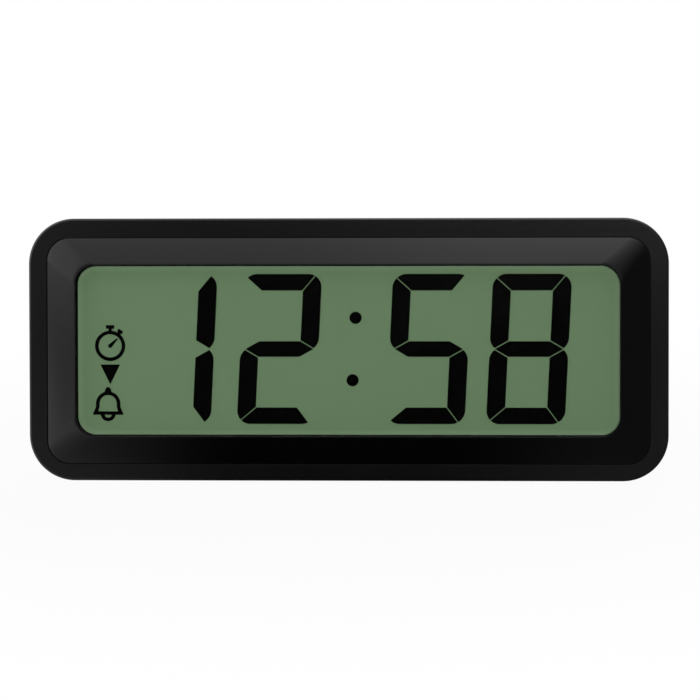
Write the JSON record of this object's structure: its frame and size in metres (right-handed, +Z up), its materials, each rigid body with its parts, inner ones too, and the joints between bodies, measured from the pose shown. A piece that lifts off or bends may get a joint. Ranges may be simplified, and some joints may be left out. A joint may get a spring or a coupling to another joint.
{
  "type": "digital clock",
  "caption": "Low, wide desk clock that leans back on rubber pads, with a liquid crystal display in a raised gloss frame, rear keys, an alarm slider and a hinged battery door.",
  "frame": {"origin": "middle of the footprint, on the surface that the rubber pads stand on", "axes": "+X to the right as seen from the front, +Y towards the back, +Z up; the display faces -Y and leans back by 8 degrees"},
  "size_m": [0.132, 0.0372, 0.0544],
  "materials": {
    "case": "satin black moulded plastic with a fine texture",
    "bezel": "polished black plastic",
    "window": "clear acrylic",
    "gasket": "black foam",
    "display_glass": "clear",
    "display_ground": "grey-green polariser",
    "segment": "dark liquid crystal",
    "foil": "diffuse reflector",
    "holder": "natural moulding",
    "contact_rubber": "silicone with carbon layers",
    "circuit": "green solder mask",
    "epoxy": "black epoxy",
    "switch_body": "black moulding",
    "screw_steel": "zinc plated",
    "contact_steel": "nickel plated spring steel",
    "brass": "thin brass disc",
    "key": "dark grey silicone",
    "cell": "plain printed wrap",
    "ribbon": "grey flat cable",
    "wire_red": "red insulation",
    "wire_black": "black insulation",
    "pad": "soft black rubber"
  },
  "bodies": {
    "clock_body": {"front_shell": "case", "bezel": "bezel", "display_window": "window", "display_gasket": "gasket", "lcd_front_glass": "display_glass", "digit_hours_tens": "segment", "digit_hours_units": "segment", "digit_minutes_tens": "segment", "digit_minutes_units": "segment", "colon_dot_upper": "segment", "colon_dot_lower": "segment", "timer_symbol": "segment", "arrow_symbol": "segment", "bell_symbol": "segment", "lcd_rear_glass": "display_ground", "reflector_foil": "foil", "display_holder": "holder", "contact_strip": "contact_rubber", "circuit_board": "circuit", "chip_blob": "epoxy", "crystal_can": "contact_steel", "board_screw_1": "screw_steel", "board_screw_2": "screw_steel", "board_screw_3": "screw_steel", "board_screw_4": "screw_steel", "holder_screw_1": "screw_steel", "holder_screw_2": "screw_steel", "rear_shell": "case", "case_screw_1": "screw_steel", "case_screw_2": "screw_steel", "case_screw_3": "screw_steel", "case_screw_4": "screw_steel", "key_board": "circuit", "key_board_screw_1": "screw_steel", "key_board_screw_2": "screw_steel", "tact_switch_mode": "switch_body", "tact_switch_up": "switch_body", "tact_switch_down": "switch_body", "tact_switch_start": "switch_body", "slide_switch": "contact_steel", "ribbon_cable": "ribbon", "buzzer_disc": "brass", "buzzer_lead": "wire_black", "battery_upper": "cell", "battery_lower": "cell", "contact_positive": "contact_steel", "contact_negative": "contact_steel", "contact_bridge": "contact_steel", "battery_lead_red": "wire_red", "battery_lead_black": "wire_black", "pad_front_left": "pad", "pad_front_right": "pad", "pad_back_left": "pad", "pad_back_right": "pad"},
    "door": {"battery_door": "case"},
    "mode_key": {"key_mode": "key"},
    "up_key": {"key_up": "key"},
    "down_key": {"key_down": "key"},
    "start_key": {"key_start": "key"},
    "slider": {"alarm_slider": "key"}
  },
  "joints": [
    {"name": "door_hinge", "type": "hinge", "parent": "clock_body", "child": "door", "pos_m": [0, 0.01143, 0.00414], "axis": [-1, 0, 0], "range_deg": [0, 85]},
    {"name": "mode_press", "type": "slide", "parent": "clock_body", "child": "mode_key", "axis": [0, -0.9903, 0.1392], "range_m": [0, 0.0006], "stiffness_N_per_m": 300},
    {"name": "up_press", "type": "slide", "parent": "clock_body", "child": "up_key", "axis": [0, -0.9903, 0.1392], "range_m": [0, 0.0006], "stiffness_N_per_m": 300},
    {"name": "down_press", "type": "slide", "parent": "clock_body", "child": "down_key", "axis": [0, -0.9903, 0.1392], "range_m": [0, 0.0006], "stiffness_N_per_m": 300},
    {"name": "start_press", "type": "slide", "parent": "clock_body", "child": "start_key", "axis": [0, -0.9903, 0.1392], "range_m": [0, 0.0006], "stiffness_N_per_m": 300},
    {"name": "alarm_slide", "type": "slide", "parent": "clock_body", "child": "slider", "axis": [1, 0, 0], "range_m": [0, 0.003]}
  ]
}
